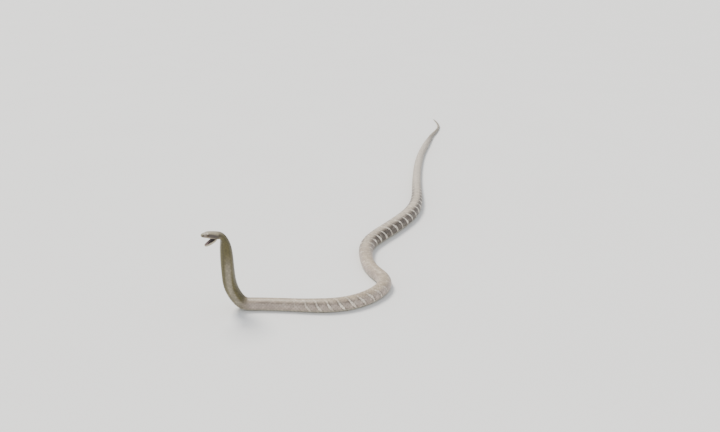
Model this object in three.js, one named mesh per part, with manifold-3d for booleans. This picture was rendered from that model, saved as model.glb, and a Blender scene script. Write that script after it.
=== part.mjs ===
// King cobra, life size, forebody raised with the mouth open and the long body laid out behind it.
// Millimetres, +Z up. The animal faces -X, and its body runs off along +X and then away along +Y.
// The belly rests on the floor at z = 0, and the origin is under the middle of the whole animal.

import * as THREE from 'three';
import { mergeVertices } from 'three/addons/utils/BufferGeometryUtils.js';
import Module from 'manifold-3d';

const wasm = await Module();
wasm.setup();

// Driving sizes of the body, with places measured along the spine from the nape to the tail
const bodyLength = 4550;
const groundAt = 353;
const groundPoint = [-486.6, -1783.6];
const bodySides = 20;
const flatBelly = 0.86;
const nodeGap = 0.3;
const pathStep = 1;
const ringStep = 24;
const tightBend = 10;

// Belly scutes of the raised forebody, each one lifted at its rear edge over the next,
// and reaching up the flanks to an angle from the middle of the back
const scuteFrom = 23;
const scuteTo = 317;
const scuteLength = 14;
const scuteLift = 1.3;
const scuteStep = 0.7;
const scuteReach = 110;

// Driving sizes of the head, with places measured back from the tip of the snout
const headLength = 64;
const headSides = 24;
const ballSides = 14;
const ballRings = 9;
const gapeDegrees = 44;
const hingeBack = 54;
const hingeHeight = -6;
const cornerBack = 50;
const lipWidth = 2.6;
const lipSwell = 0.7;
const lipTall = 3.2;
const palateRise = 5;
const floorDrop = 4;
const hollowFrom = 6.5;
const hollowRows = 8;
const hollowReach = 8;
const cornerDrop = 1.5;
const wedgeSize = 200;
const eyeRadius = 5.6;
const eyeBack = 25;
const eyeSide = 13.7;
const eyeHeight = 4.2;

// How steeply the spine runs, in degrees below level, and which way it heads, from the nape to the tail
const dive = [
  { at: 0, turn: 10 },
  { at: 12, turn: 36 },
  { at: 25, turn: 61 },
  { at: 40, turn: 71 },
  { at: 58, turn: 79 },
  { at: 80, turn: 86 },
  { at: 113, turn: 90 },
  { at: 163, turn: 90 },
  { at: 198, turn: 87 },
  { at: 229, turn: 79 },
  { at: 256, turn: 70 },
  { at: 281, turn: 62 },
  { at: 301, turn: 53 },
  { at: 317, turn: 39 },
  { at: 331, turn: 20 },
  { at: 343, turn: 4 },
  { at: groundAt, turn: 0 },
  { at: bodyLength, turn: 0 },
];
const heading = [
  { at: 0, turn: 23 },
  { at: 190, turn: 11 },
  { at: 310, turn: 2 },
  { at: 410, turn: -2 },
  { at: 550, turn: -5 },
  { at: 630, turn: -1 },
  { at: 700, turn: 11 },
  { at: 770, turn: 27 },
  { at: 835, turn: 41 },
  { at: 900, turn: 54 },
  { at: 960, turn: 71 },
  { at: 1018, turn: 98 },
  { at: 1076, turn: 117 },
  { at: 1150, turn: 110 },
  { at: 1240, turn: 97 },
  { at: 1330, turn: 90 },
  { at: 1410, turn: 77 },
  { at: 1495, turn: 61 },
  { at: 1580, turn: 58 },
  { at: 1745, turn: 60 },
  { at: 1850, turn: 64 },
  { at: 1965, turn: 72 },
  { at: 2120, turn: 81 },
  { at: 2320, turn: 86 },
  { at: 2550, turn: 85 },
  { at: 2980, turn: 82 },
  { at: 3420, turn: 77 },
  { at: 3750, turn: 76 },
  { at: 3940, turn: 72 },
  { at: 4120, turn: 77 },
  { at: 4320, turn: 90 },
  { at: bodyLength, turn: 97 },
];

// Cross-sections of the body: half width, height of the back and depth of the belly from the spine's line,
// and how square the upper and lower halves are, where 2 is an ellipse
const girth = [
  { at: 0, half: 24.2, back: 15.2, belly: 11.5, backPower: 2.2, bellyPower: 2.3 },
  { at: 10, half: 23.6, back: 15.2, belly: 10.2, backPower: 2.1, bellyPower: 2.1 },
  { at: 24, half: 23.4, back: 15.5, belly: 11, backPower: 2, bellyPower: 2 },
  { at: 42, half: 26.6, back: 17, belly: 18.5, backPower: 1.9, bellyPower: 1.9 },
  { at: 68, half: 33, back: 18.5, belly: 26, backPower: 1.8, bellyPower: 1.85 },
  { at: 100, half: 39, back: 20, belly: 29.5, backPower: 1.75, bellyPower: 1.8 },
  { at: 142, half: 43, back: 21.5, belly: 30.5, backPower: 1.75, bellyPower: 1.8 },
  { at: 185, half: 42, back: 23, belly: 29.5, backPower: 1.8, bellyPower: 1.9 },
  { at: 225, half: 37, back: 24, belly: 28, backPower: 1.9, bellyPower: 2.1 },
  { at: 268, half: 32, back: 24, belly: 25, backPower: 2, bellyPower: 2.3 },
  { at: 310, half: 29, back: 24.5, belly: 22.5, backPower: 2, bellyPower: 2.5 },
  { at: 360, half: 27.5, back: 25, belly: 21.5, backPower: 2, bellyPower: 2.5 },
  { at: 540, half: 27.5, back: 26, belly: 21.5, backPower: 2, bellyPower: 2.5 },
  { at: 640, half: 29.5, back: 28, belly: 23, backPower: 2, bellyPower: 2.5 },
  { at: 980, half: 31, back: 29, belly: 24, backPower: 2, bellyPower: 2.5 },
  { at: 1160, half: 30, back: 28.5, belly: 23.5, backPower: 2, bellyPower: 2.5 },
  { at: 1310, half: 32.5, back: 30, belly: 25, backPower: 2, bellyPower: 2.5 },
  { at: 1460, half: 37, back: 34, belly: 28, backPower: 2, bellyPower: 2.5 },
  { at: 1600, half: 40, back: 36, belly: 30, backPower: 2, bellyPower: 2.5 },
  { at: 1930, half: 39.5, back: 35.5, belly: 29.5, backPower: 2, bellyPower: 2.5 },
  { at: 2100, half: 36, back: 32.5, belly: 27.5, backPower: 2, bellyPower: 2.5 },
  { at: 2280, half: 31.5, back: 29, belly: 24, backPower: 2, bellyPower: 2.5 },
  { at: 2530, half: 28, back: 26, belly: 21.5, backPower: 2, bellyPower: 2.5 },
  { at: 2880, half: 26, back: 24, belly: 20, backPower: 2, bellyPower: 2.5 },
  { at: 3280, half: 24, back: 22, belly: 18.5, backPower: 2, bellyPower: 2.5 },
  { at: 3560, half: 22.5, back: 20.5, belly: 17.5, backPower: 2, bellyPower: 2.4 },
  { at: 3680, half: 19.5, back: 18, belly: 15, backPower: 2, bellyPower: 2.3 },
  { at: 3900, half: 15.5, back: 14.5, belly: 12, backPower: 2, bellyPower: 2.2 },
  { at: 4160, half: 11, back: 10.5, belly: 8.5, backPower: 2, bellyPower: 2.2 },
  { at: 4400, half: 6.4, back: 6, belly: 5, backPower: 2, bellyPower: 2.2 },
  { at: 4520, half: 3.6, back: 3.4, belly: 2.8, backPower: 2, bellyPower: 2.1 },
  { at: bodyLength, half: 1.2, back: 1, belly: 1.4, backPower: 2, bellyPower: 2 },
];

// The lengths that the body is divided into, each from its own place to the next one's
const lengths = [
  { name: 'hood', at: nodeGap, hide: 'hood' },
  { name: 'neck_base', at: 205, hide: 'hood' },
  { name: 'forebody', at: 390, hide: 'body' },
  { name: 'near_bend_front', at: 700, hide: 'body' },
  { name: 'near_bend_rear', at: 950, hide: 'body' },
  { name: 'body_sweep', at: 1170, hide: 'body' },
  { name: 'midbody_front', at: 1460, hide: 'body' },
  { name: 'midbody_rear', at: 1900, hide: 'body' },
  { name: 'rearbody_front', at: 2300, hide: 'body' },
  { name: 'rearbody_rear', at: 2940, hide: 'body' },
  { name: 'tail_base', at: 3670, hide: 'tail' },
  { name: 'tail_tip', at: 4100, hide: 'tail' },
];

// Upper head: half width, top and lip line at each place behind the snout, in the head's own frame
const upperHead = [
  { at: 0.3, half: 5.4, top: 1.4, low: -4, wide: -1.4, topPower: 2.2, lowPower: 2.6 },
  { at: 1.4, half: 8.6, top: 3.4, low: -5.2, wide: -1.8, topPower: 2.3, lowPower: 3 },
  { at: 4, half: 11.6, top: 5.8, low: -6, wide: -2, topPower: 2.4, lowPower: 4 },
  { at: 8, half: 13.6, top: 8, low: -6.2, wide: -2.2, topPower: 2.5, lowPower: 5 },
  { at: 13, half: 15.4, top: 10, low: -6.2, wide: -2.4, topPower: 2.6, lowPower: 5 },
  { at: 19, half: 17.2, top: 12.2, low: -6.4, wide: -2.6, topPower: 2.8, lowPower: 5 },
  { at: 26, half: 19.2, top: 14.2, low: -7, wide: -2.8, topPower: 2.9, lowPower: 5 },
  { at: 34, half: 21.2, top: 15.1, low: -7.6, wide: -3, topPower: 2.6, lowPower: 5 },
  { at: 42, half: 23.2, top: 15.4, low: -7.8, wide: -2.8, topPower: 2.4, lowPower: 5 },
  { at: 49, half: 24.8, top: 15.5, low: -8.4, wide: -2, topPower: 2.3, lowPower: 4 },
  { at: 56, half: 25.2, top: 15.4, low: -10.2, wide: -1, topPower: 2.2, lowPower: 3 },
  { at: headLength, half: 24.2, top: 15.2, low: -11.5, wide: 0, topPower: 2.2, lowPower: 2.3 },
];

// Lower jaw, as it lies when the mouth is shut: half width, lip line and chin
const lowerJaw = [
  { at: 3, half: 5.6, top: -6, low: -10.6, wide: -7.6, topPower: 4, lowPower: 2.2 },
  { at: 4.4, half: 8.6, top: -5.8, low: -12.8, wide: -7.8, topPower: 5, lowPower: 2.2 },
  { at: 8, half: 11.6, top: -5.8, low: -14.8, wide: -8, topPower: 6, lowPower: 2.2 },
  { at: 14, half: 14.4, top: -6, low: -16.8, wide: -8.4, topPower: 6, lowPower: 2.2 },
  { at: 21, half: 16.8, top: -6.6, low: -18.4, wide: -8.8, topPower: 6, lowPower: 2.3 },
  { at: 29, half: 19, top: -7.2, low: -19.4, wide: -9.4, topPower: 6, lowPower: 2.3 },
  { at: 38, half: 21.4, top: -7.4, low: -19.8, wide: -9.6, topPower: 6, lowPower: 2.3 },
  { at: 48, half: 23.2, top: -7.6, low: -19, wide: -9.6, topPower: 5, lowPower: 2.3 },
  { at: 57, half: 22.6, top: -5.6, low: -15.4, wide: -8.4, topPower: 3, lowPower: 2.3 },
];

// Shapes that are set into the head: brows over the eyes, nostrils, fangs and the windpipe's mouth
const brow = { back: 25.5, side: 15, height: 9, size: [7.6, 3.4, 1.5], tilt: 36 };
const nostril = { back: 7, side: 13.4, height: 2.6, size: [2.1, 1.8, 1.6] };
const fang = { back: 13, side: 8.4, root: 0, length: 10, radius: 1.3, rake: 14, curve: 1.8 };
const fangSides = 7;
const fangRings = 3;
const glottis = { back: 24, height: -11.6, size: [6.5, 3, 2.6] };

// Colours and finish of the hide and of the soft parts
const hides = {
  head: { color: 0x5d5742, roughness: 0.45 },
  jaw: { color: 0x8c8468, roughness: 0.45 },
  hood: { color: 0x7b7352, roughness: 0.5 },
  body: { color: 0xa49a8c, roughness: 0.5 },
  tail: { color: 0x8f867a, roughness: 0.5 },
  eye: { color: 0x3a2a16, roughness: 0.12 },
};

function paint(name) {
  return new THREE.MeshStandardMaterial({ ...hides[name], metalness: 0 });
}

// Smooth curve through one named value of a table's rows
function along(table, place, name) {
  const last = table.length - 1;
  const at = THREE.MathUtils.clamp(place, table[0].at, table[last].at);
  const next = Math.max(1, table.findIndex((row) => row.at >= at));
  const slope = (k) => {
    const before = table[Math.max(k - 1, 0)];
    const after = table[Math.min(k + 1, last)];
    return (after[name] - before[name]) / (after.at - before.at);
  };
  const from = table[next - 1];
  const to = table[next];
  const span = to.at - from.at;
  const t = (at - from.at) / span;
  const rise = t * t * (3 - 2 * t);
  const leave = t * (1 - t) * (1 - t) * span * slope(next - 1);
  const arrive = t * t * (t - 1) * span * slope(next);
  return from[name] + (to[name] - from[name]) * rise + leave + arrive;
}

// Unit direction of the spine, running toward the tail
function spineDirection(place) {
  const down = THREE.MathUtils.degToRad(along(dive, place, 'turn'));
  const turn = THREE.MathUtils.degToRad(along(heading, place, 'turn'));
  const level = Math.cos(down);
  return new THREE.Vector3(level * Math.cos(turn), level * Math.sin(turn), -Math.sin(down));
}

function bellyDepth(place) {
  return along(girth, place, 'belly');
}

// The spine as one point a millimetre, worked out both ways from where the body meets the floor
function walkSpine() {
  const count = bodyLength / pathStep;
  const start = groundAt / pathStep;
  const points = new Array(count + 1);
  points[start] = new THREE.Vector3(...groundPoint, bellyDepth(groundAt));
  for (let i = start; i > 0; i -= 1) {
    const stride = spineDirection((i - 0.5) * pathStep).multiplyScalar(pathStep);
    points[i - 1] = points[i].clone().sub(stride);
  }
  for (let i = start; i < count; i += 1) {
    const stride = spineDirection((i + 0.5) * pathStep).multiplyScalar(pathStep);
    points[i + 1] = points[i].clone().add(stride).setZ(bellyDepth((i + 1) * pathStep));
  }
  return points;
}

const spine = walkSpine();

// Place and directions of the spine: toward the tail, toward the back and toward the animal's right
function frameAt(place) {
  const i = Math.min(Math.floor(place / pathStep), spine.length - 2);
  const point = spine[i].clone().lerp(spine[i + 1], place / pathStep - i);
  const tail = spineDirection(place);
  const turn = THREE.MathUtils.degToRad(along(heading, place, 'turn'));
  const right = new THREE.Vector3(-Math.sin(turn), Math.cos(turn), 0);
  const back = tail.clone().cross(right);
  return { point, tail, back, right };
}

// Point of a section with a half width, an upper and a lower height, at an angle from the top
function sectionPoint(angle, half, up, down, upPower, downPower) {
  const sine = Math.sin(angle);
  const cosine = Math.cos(angle);
  const power = 2 / (cosine > 0 ? upPower : downPower);
  const across = half * Math.sign(sine) * Math.abs(sine) ** power;
  const height = Math.sign(cosine) * Math.abs(cosine) ** power;
  return [across, height * (cosine > 0 ? up : down)];
}

// Closed tube of rows, made from a cylinder whose rows and angles are placed by a function
function loft(rowCount, sides, place) {
  const geometry = new THREE.CylinderGeometry(1, 1, 1, sides, rowCount - 1);
  geometry.deleteAttribute('normal');
  geometry.deleteAttribute('uv');
  const position = geometry.attributes.position;
  const vertex = new THREE.Vector3();
  for (let i = 0; i < position.count; i += 1) {
    vertex.fromBufferAttribute(position, i);
    const row = Math.round((0.5 - vertex.y) * (rowCount - 1));
    const radius = Math.hypot(vertex.x, vertex.z);
    const angle = Math.atan2(vertex.x, vertex.z) + Math.PI / sides;
    const placed = place(row, angle, radius);
    position.setXYZ(i, placed.x, placed.y, placed.z);
  }
  return mergeVertices(geometry, 1e-4);
}

// Next row of the body after a place: closer together round the tight bends, and at both edges of each scute
function nextRow(at) {
  if (at >= scuteFrom && at < scuteTo) {
    const done = Math.floor((at - scuteFrom) / scuteLength + 0.001);
    const front = scuteFrom + done * scuteLength;
    const rear = front + scuteLength - scuteStep;
    return at < rear - scuteStep ? rear : front + scuteLength;
  }
  const bend = Math.abs(along(dive, at + ringStep / 2, 'turn') - along(dive, at, 'turn'));
  const next = at + ringStep / (1 + bend / tightBend);
  return at < scuteFrom ? Math.min(next, scuteFrom) : next;
}

function bodyRows(from, to) {
  const rows = [from];
  while (rows[rows.length - 1] < to) {
    rows.push(nextRow(rows[rows.length - 1]));
  }
  rows[rows.length - 1] = to;
  return rows;
}

// How far a scute stands out at a place, rising to its rear edge and dropping to the next one's front
function scuteHeight(at, angle) {
  const side = Math.cos(THREE.MathUtils.degToRad(scuteReach));
  if (at <= scuteFrom || at >= scuteTo || Math.cos(angle) > side) return 0;
  const past = (at - scuteFrom) % scuteLength;
  const rise = scuteLength - scuteStep;
  return past < rise ? (scuteLift * past) / rise : (scuteLift * (scuteLength - past)) / scuteStep;
}

function bodyPoint(at, angle, radius) {
  const frame = frameAt(at);
  const value = (name) => along(girth, at, name);
  const belly = value('belly');
  const deep = belly / flatBelly;
  const [across, up] = sectionPoint(angle, value('half'), value('back'), deep, value('backPower'),
    value('bellyPower'));
  const height = Math.max(up, -belly);
  const lifted = 1 + scuteHeight(at, angle) / Math.hypot(across, height);
  return frame.point
    .addScaledVector(frame.right, across * lifted * radius)
    .addScaledVector(frame.back, height * lifted * radius);
}

function bodyLengthMesh(length, end) {
  const rows = bodyRows(length.at, end);
  const geometry = loft(rows.length, bodySides, (row, angle, radius) => bodyPoint(rows[row], angle, radius));
  const mesh = new THREE.Mesh(geometry, paint(length.hide));
  mesh.name = length.name;
  return mesh;
}

// Solids for joining and cutting
function solid(geometry) {
  const plain = geometry.clone();
  plain.deleteAttribute('normal');
  plain.deleteAttribute('uv');
  const merged = mergeVertices(plain, 1e-4);
  return new wasm.Manifold(new wasm.Mesh({
    numProp: 3,
    vertProperties: new Float32Array(merged.attributes.position.array),
    triVerts: new Uint32Array(merged.index.array),
  }));
}

function geometryOf(body) {
  const pieces = body.decompose();
  const largest = pieces.reduce((best, piece) => (piece.volume() > best.volume() ? piece : best));
  const mesh = largest.getMesh();
  const geometry = new THREE.BufferGeometry();
  geometry.setAttribute('position', new THREE.BufferAttribute(new Float32Array(mesh.vertProperties), 3));
  geometry.setIndex(new THREE.BufferAttribute(new Uint32Array(mesh.triVerts), 1));
  return geometry;
}

// Head loft through stations, each with its place behind the snout, half width, top and bottom
function headLoft(table) {
  const rows = [...table].reverse();
  return loft(rows.length, headSides, (row, angle, radius) => {
    const { at, half, top, low, wide, topPower, lowPower } = rows[row];
    const [across, up] = sectionPoint(angle, half, top - wide, wide - low, topPower, lowPower);
    return new THREE.Vector3(headLength - at, across * radius, wide + up * radius);
  });
}

// Turn of the lower jaw about the hinge, from shut to open
function openJaw(geometry) {
  const hinge = new THREE.Vector3(headLength - hingeBack, 0, hingeHeight);
  geometry.translate(-hinge.x, 0, -hinge.z);
  geometry.rotateY(THREE.MathUtils.degToRad(gapeDegrees));
  return geometry.translate(hinge.x, 0, hinge.z);
}

// Hollow of the mouth inside the lips, rising into the roof or sinking into the floor
function mouthHollow(table, lip, depth) {
  const rows = [];
  for (let i = 0; i <= hollowRows; i += 1) {
    const at = hollowFrom + ((cornerBack - hollowFrom) * i) / hollowRows;
    const edge = along(table, at, lip);
    const swell = Math.sin((Math.PI * (i + 0.6)) / (hollowRows + 1.2)) ** 0.4;
    const inner = edge + depth * swell;
    const outer = edge - Math.sign(depth) * hollowReach;
    rows.push({
      at,
      half: (along(table, at, 'half') - lipWidth) * (0.6 + 0.4 * swell),
      top: Math.max(inner, outer),
      low: Math.min(inner, outer),
      wide: edge,
      topPower: depth > 0 ? 2 : 6,
      lowPower: depth > 0 ? 6 : 2,
    });
  }
  return headLoft(rows);
}

// Lip: a low raised band along the edge of the mouth, on the upper head or on the lower jaw
function lipBand(table, edge, tall) {
  const rows = table.filter((row) => row.at <= cornerBack).map((row) => {
    const inner = row[edge];
    const outer = inner + tall;
    return {
      at: row.at,
      half: row.half + lipSwell,
      top: Math.max(inner, outer),
      low: Math.min(inner, outer),
      wide: (inner + outer) / 2,
      topPower: 3,
      lowPower: 3,
    };
  });
  return headLoft(rows);
}

// Small rounded body of the head, with its half lengths, at a place behind the snout
function ball(size, back, side, height, tilt = 0) {
  const geometry = new THREE.SphereGeometry(1, ballSides, ballRings).scale(...size);
  return geometry.rotateX(THREE.MathUtils.degToRad(tilt)).translate(headLength - back, side, height);
}

function makeFang(side) {
  const geometry = new THREE.ConeGeometry(fang.radius, fang.length, fangSides, fangRings);
  geometry.rotateX(-Math.PI / 2).translate(0, 0, -fang.length / 2);
  const position = geometry.attributes.position;
  for (let i = 0; i < position.count; i += 1) {
    const down = position.getZ(i) / fang.length;
    position.setX(i, position.getX(i) - fang.curve * down * down);
  }
  geometry.rotateY(THREE.MathUtils.degToRad(fang.rake));
  return geometry.translate(headLength - fang.back, side * fang.side, fang.root);
}

// Wedge of space that parts the lower jaw from the head, between two planes that meet at the mouth's corner,
// one midway between the lips and one square across the open jaw
function jawWedge(margin) {
  const corner = [headLength - cornerBack, 0, hingeHeight - cornerDrop];
  const block = new THREE.BoxGeometry(wedgeSize, wedgeSize, wedgeSize);
  const below = block.clone().translate(0, 0, margin - wedgeSize / 2);
  const ahead = block.clone().translate(wedgeSize / 2 - margin, 0, 0);
  below.rotateY(THREE.MathUtils.degToRad(gapeDegrees / 2)).translate(...corner);
  ahead.rotateY(THREE.MathUtils.degToRad(gapeDegrees)).translate(...corner);
  return solid(below).intersect(solid(ahead));
}

function makeHead() {
  const roof = solid(mouthHollow(upperHead, 'low', palateRise));
  const floor = solid(openJaw(mouthHollow(lowerJaw, 'top', -floorDrop)));
  const upperLip = solid(lipBand(upperHead, 'low', lipTall));
  const lowerLip = solid(openJaw(lipBand(lowerJaw, 'top', -lipTall)));
  const upper = solid(headLoft(upperHead)).add(upperLip).subtract(roof);
  const jaw = solid(openJaw(headLoft(lowerJaw))).add(lowerLip).subtract(floor);
  const windpipe = openJaw(ball(glottis.size, glottis.back, 0, glottis.height));
  let whole = upper.add(jaw).add(solid(windpipe));
  const eyeSize = [eyeRadius, eyeRadius, eyeRadius];
  const socketSize = eyeSize.map((value) => value + nodeGap);
  for (const side of [-1, 1]) {
    whole = whole.add(solid(ball(brow.size, brow.back, side * brow.side, brow.height, -side * brow.tilt)));
    whole = whole.add(solid(makeFang(side)));
    whole = whole.subtract(solid(ball(socketSize, eyeBack, side * eyeSide, eyeHeight)));
    whole = whole.subtract(solid(ball(nostril.size, nostril.back, side * nostril.side, nostril.height)));
  }
  const pieces = {
    head: [geometryOf(whole.subtract(jawWedge(nodeGap))), 'head'],
    lower_jaw: [geometryOf(whole.intersect(jawWedge(0))), 'jaw'],
    eye_left: [ball(eyeSize, eyeBack, eyeSide, eyeHeight), 'eye'],
    eye_right: [ball(eyeSize, eyeBack, -eyeSide, eyeHeight), 'eye'],
  };
  const group = new THREE.Group();
  for (const [name, [geometry, finish]] of Object.entries(pieces)) {
    const mesh = new THREE.Mesh(geometry, paint(finish));
    mesh.name = name;
    group.add(mesh);
  }
  const nape = frameAt(0);
  const forward = nape.tail.clone().negate();
  const left = nape.right.clone().negate();
  group.quaternion.setFromRotationMatrix(new THREE.Matrix4().makeBasis(forward, left, nape.back));
  group.position.copy(nape.point);
  return group;
}

const cobra = new THREE.Group();
cobra.add(makeHead());
lengths.forEach((length, i) => {
  const end = i + 1 < lengths.length ? lengths[i + 1].at - nodeGap : bodyLength;
  cobra.add(bodyLengthMesh(length, end));
});

export default cobra;
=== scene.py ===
import math

import bmesh
import bpy
import numpy as np
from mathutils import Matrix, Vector
from mathutils.bvhtree import BVHTree


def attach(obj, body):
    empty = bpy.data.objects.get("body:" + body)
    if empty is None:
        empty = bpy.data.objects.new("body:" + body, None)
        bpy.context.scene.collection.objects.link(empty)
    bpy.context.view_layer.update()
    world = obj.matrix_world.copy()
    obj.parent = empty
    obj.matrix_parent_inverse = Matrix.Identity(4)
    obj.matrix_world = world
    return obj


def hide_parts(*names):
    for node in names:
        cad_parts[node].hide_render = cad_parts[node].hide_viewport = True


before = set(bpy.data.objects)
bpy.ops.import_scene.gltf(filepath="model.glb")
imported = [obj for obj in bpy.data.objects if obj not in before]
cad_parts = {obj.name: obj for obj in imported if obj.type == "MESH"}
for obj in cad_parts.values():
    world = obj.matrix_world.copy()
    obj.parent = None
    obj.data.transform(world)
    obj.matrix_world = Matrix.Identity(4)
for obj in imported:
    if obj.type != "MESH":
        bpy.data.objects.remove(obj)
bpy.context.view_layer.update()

# King cobra at life size. Sizes are in millimetres here and metres in the scene.
# Places on the body count along the spine from the nape to the tail tip.
metre = 0.001
rng = np.random.default_rng(7)

# groundAt is the place where the raised part comes down, and groundPoint is its spot on the floor.
body = {"length": 4550, "groundAt": 353, "groundPoint": (-486.6, -1783.6), "flatBelly": 0.86}

# degrees below level, and the way the spine heads, at places from the nape
divePath = np.array([
    (0, 10), (12, 36), (25, 61), (40, 71), (58, 79), (80, 86), (113, 90), (163, 90), (198, 87), (229, 79),
    (256, 70), (281, 62), (301, 53), (317, 39), (331, 20), (343, 4), (353, 0), (4550, 0)], float)
headingPath = np.array([
    (0, 23), (190, 11), (310, 2), (410, -2), (550, -5), (630, -1), (700, 11), (770, 27), (835, 41), (900, 54),
    (960, 71), (1018, 98), (1076, 117), (1150, 110), (1240, 97), (1330, 90), (1410, 77), (1495, 61),
    (1580, 58), (1745, 60), (1850, 64), (1965, 72), (2120, 81), (2320, 86), (2550, 85), (2980, 82),
    (3420, 77), (3750, 76), (3940, 72), (4120, 77), (4320, 90), (4550, 97)], float)

# place, half width, height of the back, depth of the belly, squareness above and below
girth = np.array([
    (0, 24.2, 15.2, 11.5, 2.2, 2.3), (10, 23.6, 15.2, 10.2, 2.1, 2.1), (24, 23.4, 15.5, 11, 2, 2),
    (42, 26.6, 17, 18.5, 1.9, 1.9), (68, 33, 18.5, 26, 1.8, 1.85), (100, 39, 20, 29.5, 1.75, 1.8),
    (142, 43, 21.5, 30.5, 1.75, 1.8), (185, 42, 23, 29.5, 1.8, 1.9), (225, 37, 24, 28, 1.9, 2.1),
    (268, 32, 24, 25, 2, 2.3), (310, 29, 24.5, 22.5, 2, 2.5), (360, 27.5, 25, 21.5, 2, 2.5),
    (540, 27.5, 26, 21.5, 2, 2.5), (640, 29.5, 28, 23, 2, 2.5), (980, 31, 29, 24, 2, 2.5),
    (1160, 30, 28.5, 23.5, 2, 2.5), (1310, 32.5, 30, 25, 2, 2.5), (1460, 37, 34, 28, 2, 2.5),
    (1600, 40, 36, 30, 2, 2.5), (1930, 39.5, 35.5, 29.5, 2, 2.5), (2100, 36, 32.5, 27.5, 2, 2.5),
    (2280, 31.5, 29, 24, 2, 2.5), (2530, 28, 26, 21.5, 2, 2.5), (2880, 26, 24, 20, 2, 2.5),
    (3280, 24, 22, 18.5, 2, 2.5), (3560, 22.5, 20.5, 17.5, 2, 2.4), (3680, 19.5, 18, 15, 2, 2.3),
    (3900, 15.5, 14.5, 12, 2, 2.2), (4160, 11, 10.5, 8.5, 2, 2.2), (4400, 6.4, 6, 5, 2, 2.2),
    (4520, 3.6, 3.4, 2.8, 2, 2.1), (4550, 1.2, 1, 1.4, 2, 2)], float)


# smooth curve through one column of a table, as in the part's source
def along(table, place, column=1):
    at, value = table[:, 0], table[:, column]
    slope = np.empty_like(value)
    slope[1:-1] = (value[2:] - value[:-2]) / (at[2:] - at[:-2])
    slope[0] = (value[1] - value[0]) / (at[1] - at[0])
    slope[-1] = (value[-1] - value[-2]) / (at[-1] - at[-2])
    place = np.clip(place, at[0], at[-1])
    after = np.clip(np.searchsorted(at, place), 1, len(at) - 1)
    before = after - 1
    span = at[after] - at[before]
    t = (place - at[before]) / span
    level = value[before] + (value[after] - value[before]) * t * t * (3 - 2 * t)
    return level + t * (1 - t) ** 2 * span * slope[before] + t * t * (t - 1) * span * slope[after]


def spineDirection(place):
    down = np.radians(along(divePath, place))
    turn = np.radians(along(headingPath, place))
    return np.stack([np.cos(down) * np.cos(turn), np.cos(down) * np.sin(turn), -np.sin(down)], axis=-1)


# one point a millimetre, worked out both ways from where the body meets the floor
def walkSpine():
    start = body["groundAt"]
    strides = spineDirection(np.arange(body["length"]) + 0.5)
    points = np.zeros((body["length"] + 1, 3))
    ground = np.array([*body["groundPoint"], along(girth, start, 3)])
    points[start] = ground
    points[:start] = ground - np.cumsum(strides[start - 1::-1], axis=0)[::-1]
    points[start + 1:] = ground + np.cumsum(strides[start:], axis=0)
    points[start:, 2] = along(girth, np.arange(start, body["length"] + 1), 3)
    return points


spine = walkSpine()


def spineFrame(place):
    place = np.asarray(place, float)
    i = np.clip(place.astype(int), 0, len(spine) - 2)
    t = (place - i)[..., None]
    tail = spineDirection(place)
    turn = np.radians(along(headingPath, place))
    right = np.stack([-np.sin(turn), np.cos(turn), np.zeros_like(turn)], axis=-1)
    return spine[i] * (1 - t) + spine[i + 1] * t, tail, right, np.cross(tail, right)


# The body's outer surface as a fine grid: rows along the spine, columns round it by equal arc,
# from the middle of the belly (-1) over the left flank, the back (0) and the right flank to the belly (1)
surface = {"rowStep": 2.5, "halfColumns": 96, "arcSteps": 720}


def bodySurface():
    places = np.arange(0, body["length"] + 0.1, surface["rowStep"])
    half, back, belly, upper, lower = (along(girth, places, k)[:, None] for k in range(1, 6))
    t = np.linspace(0, math.pi, surface["arcSteps"] + 1)[None, :]
    power = 2 / np.where(np.cos(t) > 0, upper, lower)
    across = half * np.abs(np.sin(t)) ** power
    rise = np.sign(np.cos(t)) * np.abs(np.cos(t)) ** power
    height = np.maximum(rise * np.where(rise > 0, back, belly / body["flatBelly"]), -belly)
    arc = np.cumsum(np.hypot(np.diff(across), np.diff(height)), axis=1)
    arc = np.concatenate([np.zeros((len(places), 1)), arc], axis=1)
    share = np.linspace(0, 1, surface["halfColumns"] + 1)
    sideways = np.array([np.interp(share * a[-1], a, x) for a, x in zip(arc, across)])
    upward = np.array([np.interp(share * a[-1], a, x) for a, x in zip(arc, height)])
    sideways = np.concatenate([-sideways[:, :0:-1], sideways], axis=1)
    upward = np.concatenate([upward[:, :0:-1], upward], axis=1)
    point, tail, right, backward = spineFrame(places)
    grid = point[:, None] + sideways[..., None] * right[:, None] + upward[..., None] * backward[:, None]
    normal = np.cross(np.gradient(grid, axis=1), np.gradient(grid, axis=0))
    normal /= np.maximum(np.linalg.norm(normal, axis=2, keepdims=True), 1e-9)
    normal[:, [0, -1]] = normal[:, [1, -2]].mean(axis=1, keepdims=True)
    if (normal[:, surface["halfColumns"]] * backward).sum() < 0:
        normal = -normal
    return grid, normal, arc[:, -1]


bodyGrid, bodyNormal, halfPerimeter = bodySurface()


# point at a place along the spine, a share round the body and a height over the surface
def onBody(place, around, height):
    place, around, height = np.broadcast_arrays(place, around, height)
    rows, columns = bodyGrid.shape[:2]
    a = np.clip(place / surface["rowStep"], 0, rows - 1.001)
    b = (np.mod(around + 1, 2)) / 2 * (columns - 1)
    i, j = a.astype(int), np.minimum(b.astype(int), columns - 2)
    u, v = (a - i)[..., None], (b - j)[..., None]

    def blended(grid):
        near = grid[i, j] * (1 - v) + grid[i, j + 1] * v
        far = grid[i + 1, j] * (1 - v) + grid[i + 1, j + 1] * v
        return near * (1 - u) + far * u
    return blended(bodyGrid) + blended(bodyNormal) * height[..., None]


def perimeterAt(place):
    return np.interp(place, np.arange(len(halfPerimeter)) * surface["rowStep"], halfPerimeter)


# how deep the skin lies under the outside of the scales, as a share of the body's half width
coat = {"share": 0.033, "least": 0.12, "most": 0.95}


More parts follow.
